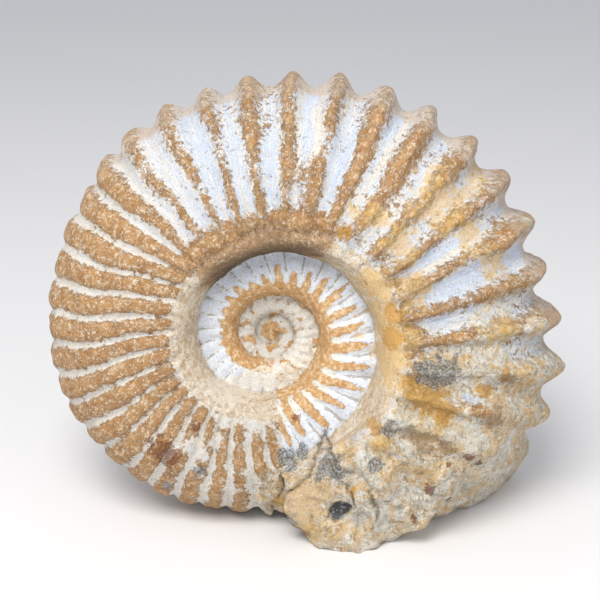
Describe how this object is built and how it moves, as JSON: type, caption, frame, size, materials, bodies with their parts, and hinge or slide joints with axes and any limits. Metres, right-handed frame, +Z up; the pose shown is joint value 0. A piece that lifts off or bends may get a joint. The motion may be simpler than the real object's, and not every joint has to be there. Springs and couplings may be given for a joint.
{
  "type": "fossil ammonite",
  "caption": "Coiled, ribbed ammonite shell turned to stone, broken at the mouth and standing on the break as a display piece.",
  "frame": {"origin": "centre of the stone's footprint box, on the surface it stands on", "axes": "+Z up, +X to the right along the width of the coil, and -Y towards the side that shows, which leans back 12 degrees"},
  "size_m": [0.1612, 0.0834, 0.1361],
  "materials": {
    "weathered_limestone": "rough, worn"
  },
  "bodies": {
    "root": {"ammonite": "weathered_limestone"}
  },
  "joints": []
}
